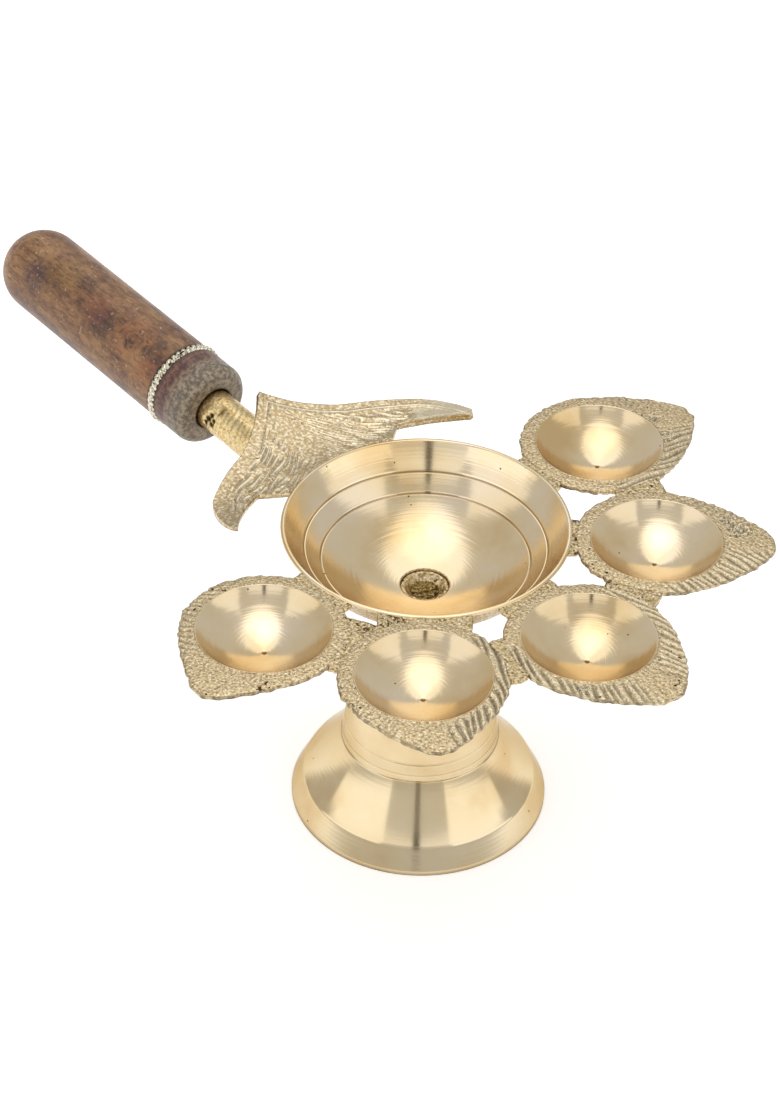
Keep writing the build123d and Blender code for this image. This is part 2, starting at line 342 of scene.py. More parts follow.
# polished brass, turned on a lathe: bright pale gold, its reflections drawn out across fine rings of tool
# marks. The marks of a real tool are finer than a pixel, so these are drawn coarser. Sizes in mm
cupLook = {"colour": "ECD6AE", "deep": "DFC08C", "light": "F3E3CB", "pitAndShade": "5E4626", "edgeTint": "FFFFFF",
           "roughness": 0.15, "drawnOut": 0.75, "cloud": 22, "markSpacing": 1.0, "markDepth": 0.022,
           "fineSpacing": 0.36, "fineDepth": 0.009, "pinhole": 0.34, "pinholeSpacing": 6.0}
# the foot's colours are a darker copy of the cups': painted shade that holds down its reflection of the white
# floor
footLook = {**cupLook, "colour": "E0CBA3", "deep": "D4B88B", "light": "E6D5B5", "edgeTint": "E4D8C2",
            "roughness": 0.13, "drawnOut": 0.4, "markDepth": 0.006, "fineDepth": 0.002, "pinholeSpacing": 8.0}


def turnedBrass(name, look):
    material, add = newMaterial(name)
    along, dirt = (add("Attribute", attribute_name=n).outputs["Fac"] for n in ("along", "dirt"))
    coarse, fine = (add("TexNoise", {"W": along, "Scale": 1 / (look[n] * mm), "Detail": 1.0},
                        noise_dimensions="1D")
                    for n in ("markSpacing", "fineSpacing"))
    place = add("TexCoord").outputs["Object"]
    cloud = add("TexNoise", {"Vector": place, "Scale": 1 / (look["cloud"] * mm), "Detail": 4.0})
    tone = add("ValToRGB", (cloud,), stops=((0.3, look["deep"]), (0.5, look["colour"]), (0.8, look["light"])))
    spots = add("TexVoronoi", {"Vector": place, "Scale": 1 / (look["pinholeSpacing"] * mm)})
    size = look["pinhole"] / look["pinholeSpacing"]
    hole = add("MapRange", (spots.outputs["Distance"], size, size * 0.55))
    # pinholes are the metal's own dark pits; the rest of this darkening is painted shade laid on the mesh in
    # the bowl's rings, the cups' dimples and along the foot's bottom edge
    dark = add("Math MAXIMUM", (hole, dirt))
    colour = add("Mix", {0: dark, 6: tone, 7: linear(look["pitAndShade"])}, data_type="RGBA")
    rough = add("MapRange", (fine, 0.0, 1.0, look["roughness"] - 0.04, look["roughness"] + 0.06))
    first = add("Bump", {"Height": coarse, "Distance": look["markDepth"] * mm})
    second = add("Bump", {"Height": fine, "Distance": look["fineDepth"] * mm, "Normal": first})
    grain = add("Tangent", direction_type="UV_MAP", uv_map="turning")
    metal = add("ShaderNodeBsdfPrincipled",
                {"Base Color": colour.outputs[2], "Metallic": 1.0, "Roughness": rough,
                 "Anisotropic": look["drawnOut"], "Specular Tint": linear(look["edgeTint"]), "Normal": second,
                 "Tangent": grain})
    add("OutputMaterial", {"Surface": metal})
    return material


# sand-cast brass left as it came from the mould: dull sparkle of sand grains, dark in its pits and worn
# bright on top. The wing is chased and smoother, braze and stud are darker, the rod is yellower and the
# wire is bright. Sizes in mm
castLook = {"dark": "9D835B", "colour": "C5AF87", "worn": "E6D8B8", "pit": "3E2E1C", "pits": 0.09,
            "roughness": 0.25, "grain": 0.75, "depth": 0.24, "pitSize": 1.2, "patch": 12}
wingLook = {**castLook, "dark": "AD956D", "colour": "BFA983", "worn": "EEE1C3", "pits": 0.075,
            "roughness": 0.24, "grain": 0.9, "depth": 0.07}
brazeLook = {**castLook, "dark": "86703F", "colour": "C4AD82", "pit": "5A452C", "pits": 0.15,
             "roughness": 0.30, "depth": 0.26, "pitSize": 0.9}
rodLook = {**castLook, "dark": "B08D56", "colour": "D9BE87", "worn": "ECD9AA", "pits": 0.05,
           "roughness": 0.28, "depth": 0.06}
studLook = {**castLook, "dark": "3E3018", "colour": "7D6638", "worn": "BBA36C", "pits": 0.15,
            "roughness": 0.45}
wireLook = {**castLook, "dark": "8A7B62", "colour": "DDD5BE", "worn": "F4F0E2", "pits": 0.13,
            "roughness": 0.2, "depth": 0.16}


def castBrass(name, look):
    material, add = newMaterial(name)
    place = add("TexCoord").outputs["Object"]
    grain, holes, patch = (
        add("TexNoise", {"Vector": place, "Scale": 1 / (look[n] * mm), "Detail": detail, "Roughness": rough})
        for n, detail, rough in (("grain", 2.0, 0.55), ("pitSize", 1.5, 0.5), ("patch", 2.0, 0.5)))
    skin = add("ValToRGB", (grain,), stops=((0.3, look["dark"]), (0.48, look["colour"]),
                                            (0.68, look["worn"])))
    deep = add("Math MULTIPLY", (holes, patch))
    hollow = add("MapRange", (deep, look["pits"] + 0.025, look["pits"]))
    # the rib valleys and the marks laid on the mesh carry painted shade; the pits are the metal's own dark
    valley, dirt, crest = (add("Attribute", attribute_name=n).outputs["Fac"]
                           for n in ("hollow", "dirt", "crest"))
    shade = add("Math MAXIMUM", (add("Math MAXIMUM", (hollow, valley)), dirt))
    rubbed = add("Mix", {0: crest, 6: skin, 7: linear(look["worn"])}, data_type="RGBA")
    tone = add("Mix", {0: shade, 6: rubbed.outputs[2], 7: linear(look["pit"])}, data_type="RGBA")
    rough = add("MapRange", (grain, 0.0, 1.0, look["roughness"] + 0.16, look["roughness"] - 0.08))
    height = add("Math MULTIPLY_ADD", (hollow, -1.2, grain))
    bump = add("Bump", {"Height": height, "Distance": look["depth"] * mm})
    metal = add("ShaderNodeBsdfPrincipled",
                {"Base Color": tone.outputs[2], "Metallic": 1.0, "Roughness": rough, "Normal": bump})
    add("OutputMaterial", {"Surface": metal})
    return material


turnedMetal = turnedBrass("turnedBrass", cupLook)
footMetal = turnedBrass("turnedAndBuffedBrass", footLook)
castMetal = castBrass("sandCastBrass", castLook)
wingMetal = castBrass("chasedCastBrass", wingLook)
brazeMetal = castBrass("runBrazeMetal", brazeLook)
rodMetal = castBrass("castRodBrass", rodLook)
studMetal = castBrass("cutStudBrass", studLook)
wireMetal = castBrass("twistedBrassWire", wireLook)
print("metals mixed")


# a line of radius and height, point by point, is turned about Z
def buildLathe():
    tree, add, given = newTree("turnedOnLathe", Geometry=["Profile"], Int=["Steps Round", "Steps Along"],
                               Material=["Material"])
    grid = add("MeshGrid", (1.0, 1.0, given["Steps Round"], given["Steps Along"]))
    position = add("InputPosition")
    flat = add("SeparateXYZ", (position,))
    share, circuit = (add("Math ADD", (flat.outputs[axis], 0.5)) for axis in "YX")
    turn = add("Math MULTIPLY", (circuit, math.tau))
    last = add("Math SUBTRACT", (given["Steps Along"], 1.0))
    order = add("Math MULTIPLY_ADD", (share, last, 0.5))
    row = add("FloatToInt", (order,), rounding_mode="FLOOR")
    length = add("InputNamedAttribute", {"Name": "along"}, data_type="FLOAT")
    point, along = (add("SampleIndex", {"Geometry": given["Profile"], "Index": row, "Value": value},
                        data_type=kind,
                        domain="POINT") for value, kind in ((position, "FLOAT_VECTOR"), (length, "FLOAT")))
    where = add("SeparateXYZ", (point,))
    x, y = (add("Math MULTIPLY", (add("Math " + wave, (turn,)), where.outputs["X"]))
            for wave in ("COSINE", "SINE"))
    spot = add("CombineXYZ", (x, y, where.outputs["Z"]))
    rings = add("StoreNamedAttribute", {"Geometry": grid, "Name": "along", "Value": along},
                data_type="FLOAT", domain="POINT")
    sheet = add("CombineXYZ", (share, circuit))
    laid = add("StoreNamedAttribute", {"Geometry": rings, "Name": "turning", "Value": sheet},
               data_type="FLOAT2", domain="CORNER")
    bent = add("SetPosition", {"Geometry": laid, "Position": spot})
    closed = add("MergeByDistance", {"Geometry": bent, "Distance": weld})
    closeTree(add, closed, given["Material"])
    return tree


latheTree = buildLathe()


def turnedPiece(name, profile, material, roundSteps, step):  # points at most a step apart, in mm
    line = [np.array(profile[0], float)]
    for point in profile[1:]:
        start, run = line[-1], np.array(point, float) - line[-1]
        parts = max(1, math.ceil(np.hypot(*run) / step))
        line += [start + run * k / parts for k in range(1, parts + 1)]
    mesh = bpy.data.meshes.new(name)
    mesh.from_pydata([(r * mm, 0, z * mm) for r, z in line], [(i, i + 1) for i in range(len(line) - 1)], [])
    setValues(mesh, along=lengthAlong(np.array(line)) * mm)
    return grow(newPiece(name, mesh), latheTree,
                {"Steps Round": roundSteps + 1, "Steps Along": len(line), "Material": material})


def addGrit(add, given, height, amount):  # lumps of the mould and sand grain, on top of a height
    for kind in ("Lump", "Grain"):
        scale = add("Math DIVIDE", (1.0, given[kind + " Size"]))
        rough = add("TexNoise", {"W": given["Seed"], "Scale": scale, "Detail": 2.0}, noise_dimensions="4D")
        level = add("Math SUBTRACT", (rough, 0.5))
        depth = add("Math MULTIPLY", (amount, given[kind + " Depth"]))
        height = add("Math MULTIPLY_ADD", (level, depth, height))
    return height


# relief of a casting: ribs cut down into the skin, and grit, pushed along the surface's own direction
def buildCastSkin():
    tree, add, given = newTree("castSkin", Geometry=["Shape"], Material=["Material", "Turned Material"],
                               Float=["Rib Depth", "Rib Sharpness", "Valley Shade", "Crest Wear", "Lump Size",
                                      "Lump Depth", "Grain Size", "Grain Depth", "Seed"])
    phase, ribbed, cast = (add("InputNamedAttribute", {"Name": name}, data_type="FLOAT")
                           for name in ("ribPhase", "ribAmount", "castAmount"))
    swing = add("Math SINE", (add("Math MULTIPLY", (phase, math.pi)),))
    crest = add("Math POWER", (add("Math ABSOLUTE", (swing,)), given["Rib Sharpness"]))
    valley = add("Math SUBTRACT", (crest, 1.0))
    ribs = add("Math MULTIPLY", (valley, add("Math MULTIPLY", (ribbed, given["Rib Depth"]))))
    push = add("VectorMath SCALE", {0: add("InputNormal"), "Scale": addGrit(add, given, ribs, cast)})
    shade = add("Math MULTIPLY", (given["Valley Shade"], -1.0))
    shape = given["Shape"]
    for name, height, strength in (("hollow", valley, shade), ("crest", crest, given["Crest Wear"])):
        here = add("Math MULTIPLY", (add("Math MULTIPLY", (height, ribbed)), strength))
        shape = add("StoreNamedAttribute", {"Geometry": shape, "Name": name, "Value": here},
                    data_type="FLOAT", domain="POINT")
    moved = add("SetPosition", {"Geometry": shape, "Offset": push})
    closeTree(add, moved, given["Material"], given["Turned Material"])
    return tree


skinTree = buildCastSkin()
castSizes = {"Rib Sharpness": 0.4, "Valley Shade": 0.85, "Crest Wear": 0.5, "Lump Size": 3.0 * mm,
             "Lump Depth": 0.3 * mm, "Grain Size": 0.8 * mm, "Grain Depth": 0.26 * mm}

# foot: hollow bell with a rim band, a shoulder line and a slim neck. Pairs are radius and height
foot = {"edge": 1.0, "bottomShade": 0.45, "bandHeight": 7.9, "bandInset": 3.5, "shoulder": (23.7, 23.9),
        "hollow": 0.6, "ledge": 0.12, "neckPulls": ((21.5, 42.68), (11.56, 49.49)), "waist": (10.6, 62.0),
        "seatPulls": ((10.28, 66.14), (10.92, 70.90)), "seat": 12.0, "lines": (25.7, 29.6), "lineDepth": 0.14,
        "lineHalf": 0.22, "wall": 2.8, "roof": 46.0, "socket": (7.06, 58.2)}


def buildFoot():
    wall, (shoulderRadius, shoulderHeight) = foot["wall"], foot["shoulder"]

    def bell(inset):  # floor to shoulder
        bandTop = (footRadius - foot["bandInset"] - inset, foot["bandHeight"])
        start = [(footRadius - inset, 0), (footRadius - inset, foot["edge"])]
        return start + arcLine(bandTop, (shoulderRadius - inset, shoulderHeight), foot["hollow"], 40).tolist()

    neck, seat = (shoulderRadius - foot["ledge"], shoulderHeight), (foot["seat"], footHeight)
    curve = []
    for run in ((neck, *foot["neckPulls"], foot["waist"]), (foot["waist"], *foot["seatPulls"], seat)):
        curve += [(p.x, p.y) for p in interpolate_bezier(*[Vector((*p, 0)) for p in run], 60)]
    for height in foot["lines"]:  # fine lines cut with the point of a tool
        reach = np.interp(height, *np.array(curve).T[::-1])
        curve = [p for p in curve if abs(p[1] - height) > 0.3] + [(reach - foot["lineDepth"], height)]
        curve += [(reach, height + way * foot["lineHalf"]) for way in (-1, 1)]
        curve.sort(key=lambda p: p[1])
    roof = (foot["socket"][0], foot["roof"])
    ceiling = arcLine((shoulderRadius - wall, shoulderHeight), roof, -wall, 30).tolist()
    inside = (bell(wall) + ceiling + [(0, foot["roof"])])[::-1]
    socket = [(foot["socket"][0], footHeight), foot["socket"], (0, foot["socket"][1])]
    piece = turnedPiece("footBell", inside + bell(0) + curve + socket, footMetal, 192, 0.6)
    low = np.clip((foot["edge"] + 0.2 - pointsOf(piece)[:, 2]) / 0.4, 0, 1)  # painted contact shadow along the bottom edge
    setValues(piece.data, dirt=foot["bottomShade"] * low)
    finishPiece(piece, "foot", "pedestal_foot")


buildFoot()
print("foot turned")

# bowl: shallow dish with a flat lip and two fine rings, turned inside and left as cast outside
bowl = {"lip": 1.15, "lipShape": ((0.15, -0.02), (0.4, 0.0), (0.65, -0.06), (1.0, -0.22), (1.15, -0.6)),
        "depth": 22.4, "floor": 2.4, "boss": 12.0, "bore": 7.06, "rings": (34.6, 29.9), "ringDepth": 0.34,
        "ringWidth": 0.34, "ringShadePlace": 0.12, "ringShadeWidth": 0.2, "bareBoss": 9.0}


def dish(radius, depth, reach):  # height of a round dish at each reach
    ball = (radius ** 2 + depth ** 2) / (2 * depth)
    return rimHeight - depth + ball - np.sqrt(ball ** 2 - reach ** 2)


def buildBowl():
    inner = bowlRadius - bowl["lip"]
    close = np.linspace(-1, 1, 9) * bowl["ringWidth"]
    r = [np.linspace(bowl["bore"], inner, 100)] + [ring + close for ring in bowl["rings"]]
    r = np.unique(np.concatenate(r))
    z = dish(inner, bowl["depth"], r)
    for ring in bowl["rings"]:  # a fine V cut with the point of a tool
        z -= bowl["ringDepth"] * np.clip(1 - np.abs(r - ring) / bowl["ringWidth"], 0, 1)
    inside = np.stack([r, z], -1).tolist()
    inside += [(inner + out, rimHeight + rise) for out, rise in bowl["lipShape"]]
    r = np.linspace(bowlRadius, bowl["boss"], 90)
    outside = np.stack([r, dish(bowlRadius, bowl["depth"] + bowl["floor"], r)], -1).tolist()[2:]
    boss = [(bowl["boss"], footHeight), (bowl["bore"], footHeight), (bowl["bore"], inside[0][1])]
    piece = turnedPiece("mainBowl", inside + outside + boss, turnedMetal, 256, 0.7)
    along = np.zeros(len(piece.data.vertices), np.float32)
    piece.data.attributes["along"].data.foreach_get("value", along)
    line = lengthAlong(np.array(inside))[-1] * mm  # turned up to here
    bare = along.max() - along - bowl["bareBoss"] * mm
    cast = np.clip((along - line) / mm, 0, 1) * np.clip(bare / mm, 0, 1)
    points = pointsOf(piece)
    reach = np.hypot(points[:, 0], points[:, 1])
    # painted shade just outside each ring's cut, on the turned inside only
    pitAndShade = [np.clip(1 - np.abs(reach - ring - bowl["ringShadePlace"]) / bowl["ringShadeWidth"], 0, 1)
            for ring in bowl["rings"]]
    faces = [all(along[v] < line + 0.05 * mm for v in face.vertices) for face in piece.data.polygons]
    setValues(piece.data, castAmount=cast, dirt=0.8 * np.max(pitAndShade, 0) * (along < line), turned=faces)
    grow(piece, skinTree, {**castSizes, "Seed": 29.0, "Material": castMetal, "Turned Material": turnedMetal})
    finishPiece(piece, "head", "main_bowl")


buildBowl()
print("bowl turned")

# stud: threaded rod that joins foot and bowl; its upper end was dished with a punch and left rough
stud = {"radius": 7.0, "dish": 5.9, "dishFloor": 3.6, "dishDepth": 2.6, "darkDish": 4.3, "pitch": 1.5,
        "threadDepth": 0.35,
        "rough": {"Rib Sharpness": 0.9, "Lump Depth": 0.8 * mm, "Lump Size": 1.6 * mm, "Seed": 23.0}}


def buildStud():
    (_, _, low), (_, _, high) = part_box("joint_stud")
    low, high, radius = low / mm, high / mm, stud["radius"]
    hollow = [(0, high - stud["dishDepth"]), (stud["dishFloor"], high - stud["dishDepth"] + 0.3),
              (stud["dish"], high - 0.15), (stud["dish"] + 0.4, high), (radius - 0.2, high),
              (radius, high - 0.3)]
    shank = [(radius, low + 0.6), (radius - 0.6, low), (0, low)]
    piece = turnedPiece("threadedStud", hollow + shank, studMetal, 96, 0.3)
    x, y, height = pointsOf(piece).T
    reach = np.hypot(x, y)
    faces = [reach[list(face.vertices)].max() < stud["darkDish"] for face in piece.data.polygons]  # the dark stud metal fills the dish
    setValues(piece.data, turned=faces, ribPhase=height / stud["pitch"] + np.arctan2(y, x) / math.tau,
              castAmount=np.clip(high - height < 4, 0, 1) * np.clip((radius - 0.2 - reach) / 0.6, 0, 1),
              ribAmount=(reach > radius - 0.1) * np.clip((high - 4.5 - height) / 1.5, 0, 1))
    grow(piece, skinTree, {**castSizes, **stud["rough"], "Rib Depth": stud["threadDepth"] * mm,
                           "Material": brazeMetal, "Turned Material": studMetal})
    finishPiece(piece, "stud", "joint_stud")


buildStud()
print("stud threaded")

# leaf cups: five cast leaves, each with a turned wick cup. Angles are counted from the leaf's own tip, in
# degrees. Ribs: from, to, strength and lean of the veins. Patches: rough spots by angle, reach and size
leaf = {"reach": 65.1, "pitch": 43.17, "cupRadius": 18.6, "cupDepth": 9.0, "wall": 1.6, "border": 4.6,
        "plate": 1.8, "gap": 1.0, "coned": 0.5, "coneSlope": 0.364, "dimple": (0.22, 0.55), "lipWidth": 0.14,
        "lipStep": 0.2, "fall": 0.25, "round": 0.5, "fuller": 0.15, "uneven": 0.16, "ribSpacing": 2.1,
        "ribDepth": 0.8, "steps": 540, "seeds": (40, 80, 90), "shoulders": (54, 56, 72, 72, 70),
        "points": (15.2, 13.7, 16.2, 17.6, 16.3), "turns": (15, 9, 2.5, 3.5, -7),
        "shifts": ((0.7, 0.75), (0, 0), (0, 0), (0, 0), (0, 0)),
        "patches": ((), (), ((-52, 21.5, 2.0),), ((14, 24.5, 3.6), (27, 23.0, 2.2)),
                    ((-20, 20.9, 2.6), (6, 21.5, 2.0))),
        "ribs": (((-115, -30, 0.5, -75), (150, 178, 0.3, 170)), ((6, 135, 1.0, 6), (-60, -20, 0.2, -40)),
                 ((-125, -6, 0.9, -26), (10, 125, 1.0, 12)), ((-85, -4, 1.0, -44), (15, 75, 0.3, 40)),
                 ((-112, -8, 1.0, -2), (20, 60, 0.3, 40)))}


def leafEdge(number, turns):  # distance from the cup's middle to the leaf's edge
    halfWidth = leaf["cupRadius"] + leaf["border"]
    shoulder = math.radians(leaf["shoulders"][number])
    out = np.array([math.cos(shoulder), math.sin(shoulder)])
    start = halfWidth * out
    tip = np.array([leaf["cupRadius"] + leaf["points"][number] - 0.6, 0.0])
    run = tip - start
    radius = -run.dot(run) / (2 * run.dot(out))
    centre = start - out * radius
    sweep = np.linspace(math.atan2(*(start - centre)[::-1]), math.atan2(*(tip - centre)[::-1]), 60)
    side = centre + radius * np.stack([np.cos(sweep), np.sin(sweep)], -1)
    angle, reach = np.arctan2(side[:, 1], side[:, 0]), np.hypot(side[:, 0], side[:, 1])
    edge = np.interp(np.abs((turns + math.pi) % math.tau - math.pi), angle[::-1], reach[::-1],
                     right=halfWidth)
    spread = np.exp(-0.5 * (np.arange(-36, 37) / 9.5) ** 2)  # rounds the corners
    edge = np.convolve(np.concatenate([edge[-36:], edge, edge[:36]]), spread / spread.sum(), "valid")
    halfPitch = math.radians(leaf["pitch"] / 2)
    world = turns + math.radians(leaf["turns"][number])
    room = leaf["reach"] - leaf["gap"] / 2 / math.sin(halfPitch)
    for way in (1, -1):  # a leaf ends at the gap to its neighbour
        lean = way * np.sin(world) - np.cos(world) * math.tan(halfPitch)
        limit = np.where(lean > 1e-3, room * math.tan(halfPitch) / np.maximum(lean, 1e-3), 1e3)
        edge = np.minimum(edge, limit)
    return edge


def leafRows(edge):  # rings from the cup's middle over the border to the underside
    cupRadius, depth, plate, bend = (leaf[k] for k in ("cupRadius", "cupDepth", "plate", "round"))
    inRadius = (cupRadius ** 2 + depth ** 2) / (2 * depth)
    outRadius, middle = inRadius + leaf["wall"], inRadius - depth
    rows = []

    def row(radius, height, cast=0.0, ribs=0.0, turned=False, dirt=0.0):
        rows.append((np.broadcast_to(radius, len(edge)), np.broadcast_to(height, len(edge)), cast, ribs,
                     turned, dirt))

    share = np.linspace(0.012, 1, 40) ** 1.1
    reach = (cupRadius - 0.1) * share
    ball = middle - np.sqrt(inRadius ** 2 - reach ** 2)
    cone = leaf["coneSlope"] * (np.sqrt(reach ** 2 + 1) - 1) - depth
    cone += (ball[-1] - cone[-1]) * share ** 4
    dimple = leaf["dimple"][0] * np.exp(-(reach / leaf["dimple"][1]) ** 2)
    for radius, height in zip(reach, ball + leaf["coned"] * (cone - ball) - dimple):  # between ball and cone
        # painted shade in the dimple at the cup's middle
        row(radius, height, turned=True, dirt=0.9 * (radius < 0.5))
    row(cupRadius + 0.04, 0.0, turned=True)
    row(cupRadius + leaf["lipWidth"], 0.0, turned=True)
    inner = cupRadius + leaf["lipWidth"] + 0.12
    row(inner, -leaf["lipStep"], 0.3)
    for share in np.linspace(0.04, 1, 26):
        row(inner + (edge - bend - inner) * share, -leaf["lipStep"] - leaf["fall"] * share ** 2,
            min(1.0, 0.35 + 3 * share), min(1.0, share / 0.35))
    low = leaf["lipStep"] + leaf["fall"]
    # painted shade where the edge turns down and on its underside
    for turn in np.radians((30, 60, 90)):
        row(edge - bend + bend * math.sin(turn), -low - bend * (1 - math.cos(turn)), 1.0, 1.0,
            dirt=0.4 * math.sin(turn))
    row(edge - 0.1, -plate + 0.2, 1.0, 0.4, dirt=0.55)
    row(edge - 0.4, -plate, 1.0, dirt=0.4)
    under = math.sqrt(outRadius ** 2 - (middle + plate) ** 2)
    for share in np.linspace(0.1, 1, 10):
        row(edge - 0.4 + (under - edge + 0.4) * share, -plate, 1.0)
    for radius in under * np.linspace(0.94, 0.03, 22):
        row(radius, middle - math.sqrt(outRadius ** 2 - radius ** 2), 1.0)
    return rows, (0, 0, middle - inRadius - leaf["dimple"][0]), (0, 0, middle - outRadius)


def layTurning(mesh, count, steps):  # a sheet whose second side runs round the cup
    ring, step = np.divmod(np.arange((count - 1) * steps), steps)
    across = np.stack([ring, ring, ring + 1, ring + 1], -1) / count
    around = np.stack([step, step + 1, step + 1, step], -1) / steps
    parts = [np.stack([across, around], -1).reshape(-1, 2)]
    step = np.arange(steps)
    for level, order in ((0.0, (0.5, 1, 0)), (1.0, (0.5, 0, 1))):
        rim = abs(level - 1 / count)
        parts.append(np.stack([np.stack([np.full(steps, h), (step + o) / steps], -1)
                               for h, o in zip((level, rim, rim), order)], 1).reshape(-1, 2))
    mesh.uv_layers.new(name="turning").data.foreach_set("uv", np.concatenate(parts).ravel())


def buildLeaf(number):
    steps = leaf["steps"]
    edgeSeed, dirtSeed, grainSeed = (seed + number for seed in leaf["seeds"])
    turns = np.arange(steps) * math.tau / steps
    edge = leafEdge(number, turns) + leaf["fuller"] + wobble(turns, edgeSeed, 9, 60, leaf["uneven"])
    degrees = np.degrees((turns + math.pi) % math.tau - math.pi)
    ribbed, lean = np.zeros(steps), np.zeros(steps)
    for low, high, share, way in leaf["ribs"][number]:
        here = np.clip(np.minimum(degrees - low, high - degrees) / 8, 0, 1)
        ribbed = np.maximum(ribbed, share * here)
        lean[here > 0] = math.radians(way)
    rows, top, bottom = leafRows(edge)
    reaches, heights, *flags = (np.array(column) for column in zip(*rows))
    cast, ribs, turned, dirty = (flag[:, None] for flag in flags)
    x, y = reaches * np.cos(turns), reaches * np.sin(turns)
    mesh = ringMesh(f"leafCup{number + 1}", np.stack([x, y, heights], -1), top, bottom)
    veins = (y * np.cos(lean) - x * np.sin(lean)) / leaf["ribSpacing"]
    wave = veins + 0.2 * np.sin(x * 0.31 + number) + 0.16 * np.sin(y * 0.83 + x * 0.2)  # no vein is straight
    amount = ribs * ribbed
    chance = np.random.default_rng(grainSeed).normal(size=wave.shape)
    for angle, reach, size in leaf["patches"][number]:  # bright and dark grain beside each other
        turn = math.radians(angle)
        away = (x - reach * math.cos(turn)) ** 2 + (y - reach * math.sin(turn)) ** 2
        here = (np.exp(-away / size ** 2) > 0.3 + 0.3 * np.abs(chance)) & (cast > 0)
        wave, amount = np.where(here, np.where(chance > 0, 0.5, 0.06), wave), np.where(here, 1.8, amount)
    patchy = np.clip(0.9 + wobble(turns, dirtSeed, 5, 90, 0.5), 0, 1.5)
    # painted shade in the dimple and where the edges turn down, patchy along the edges
    dirt = np.clip(dirty * np.where(turned, 1, patchy), 0, 0.9)
    faces = np.repeat(turned[:-1] & turned[1:], steps)
    setValues(mesh, ribPhase=wave, ribAmount=amount, castAmount=np.repeat(cast, steps),
              along=np.hypot(x, y) * mm, dirt=np.append(dirt, 1.0),
              turned=np.append(faces, np.ones(steps, bool)))
    layTurning(mesh, len(rows), steps)
    east, north = leaf["shifts"][number]
    mesh.transform(Matrix.Translation((east * mm, north * mm, rimHeight * mm))
                   @ Matrix.Rotation(math.radians((number - 2) * leaf["pitch"]), 4, "Z")
                   @ Matrix.Translation((leaf["reach"] * mm, 0, 0))
                   @ Matrix.Rotation(math.radians(leaf["turns"][number]), 4, "Z"))
    outwards(mesh)
    piece = grow(newPiece(f"leafCup{number + 1}", mesh), skinTree,
                 {**castSizes, "Rib Depth": leaf["ribDepth"] * mm, "Seed": 3.0 + number,
                  "Material": castMetal, "Turned Material": turnedMetal})
    finishPiece(piece, "head", f"petal_cup_{number + 1}")


for number in range(5):
    buildLeaf(number)
print("leaves cast")

# wing: curled plate behind the bowl with a rear point, two horns, a raised rib and feather strokes.
# Drops: share of the span, distance from the edge, length, width and height
wing = {"turn": -0.4, "thickness": 3.1, "depth": 20.3, "apex": 32.5, "rearHollow": 1.1, "shoulder": 19,
        "bend": 39.4, "tips": (57.6, 54.2), "tipReach": 12.2, "bulges": (2.7, 1.6), "hollow": 1.6,
        "rootAngle": 32, "rootReach": 8.4, "hold": 28, "curl": 56.7, "lowLine": 6.6, "sink": 0.3,
        "ribPlace": 3.7, "ribHeight": 0.5, "ribWidth": 0.5, "strokeSpacing": 2.0, "rightSlant": 24.0,
        "leftSlant": 3.0, "strokeDepth": 0.45, "bluntness": (0.6, 1.5), "span": 75, "fullWidth": 9,
        "groundDown": 0.3, "dropLean": (0.92, 0.38), "rubbedFrom": 0.58, "rubbed": 0.9,
        "steps": (240, 84), "seed": 5, "strokes": 160,
        "drops": ((0.44, 9.4, 2.6, 0.9, 0.55), (0.36, 6.8, 2.2, 0.7, 0.45), (0.52, 6.6, 2.4, 0.6, 0.4),
                  (0.33, 11.8, 2.0, 0.6, 0.4), (0.27, 9.2, 1.6, 0.5, 0.35)),
        "skin": {"Rib Sharpness": 1.6, "Valley Shade": 0.15, "Crest Wear": 0.85, "Lump Depth": 0.25 * mm,
                 "Grain Depth": 0.1 * mm, "Seed": 11.0}}


def polar(radius, angle):
    turn = math.radians(180 - angle)
    return np.array([radius * math.cos(turn), radius * math.sin(turn)])


def spaced(parts, shares, count):  # points along joined lines, each line holding its own share of them
    line = []
    for k, (part, low, high) in enumerate(zip(parts, shares[:-1], shares[1:])):
        step = lengthAlong(part)
        want = [s for s in np.linspace(0, 1, count) if low <= s < high or (k == len(parts) - 1 and s >= low)]
        place = (np.array(want) - low) / (high - low) * step[-1]
        line.append(np.stack([np.interp(place, step, part[:, 0]), np.interp(place, step, part[:, 1])], -1))
    return np.vstack(line)


def wingSide(side, tipAngle, count):  # inner and outer edge from the middle to one horn
    outer = bowlRadius + wing["depth"]
    apex = (-bowlRadius - wing["apex"], 0)
    shoulder, bend = polar(outer, side * wing["shoulder"]), polar(outer, side * wing["bend"])
    tip = polar(bowlRadius + wing["tipReach"], side * tipAngle)
    root = polar(bowlRadius + wing["rootReach"], side * wing["rootAngle"])
    hold = polar(bowlRadius, side * wing["hold"])
    arc = np.array([polar(outer, side * a) for a in np.linspace(wing["shoulder"], wing["bend"], 30)])
    rear = [arcLine(apex, shoulder, -side * wing["rearHollow"], 30), arc,
            arcLine(bend, tip, side * wing["bulges"][side < 0], 40)]
    bowlArc = np.array([polar(bowlRadius - 0.15, side * a) for a in np.linspace(0, wing["hold"], 30)])
    front = [bowlArc, arcLine(hold, root, 0, 10), arcLine(tip, root, -side * wing["hollow"], 40)[::-1]]
    return spaced(front, (0, 0.40, 0.52, 1), count), spaced(rear, (0, 0.36, 0.58, 1), count)


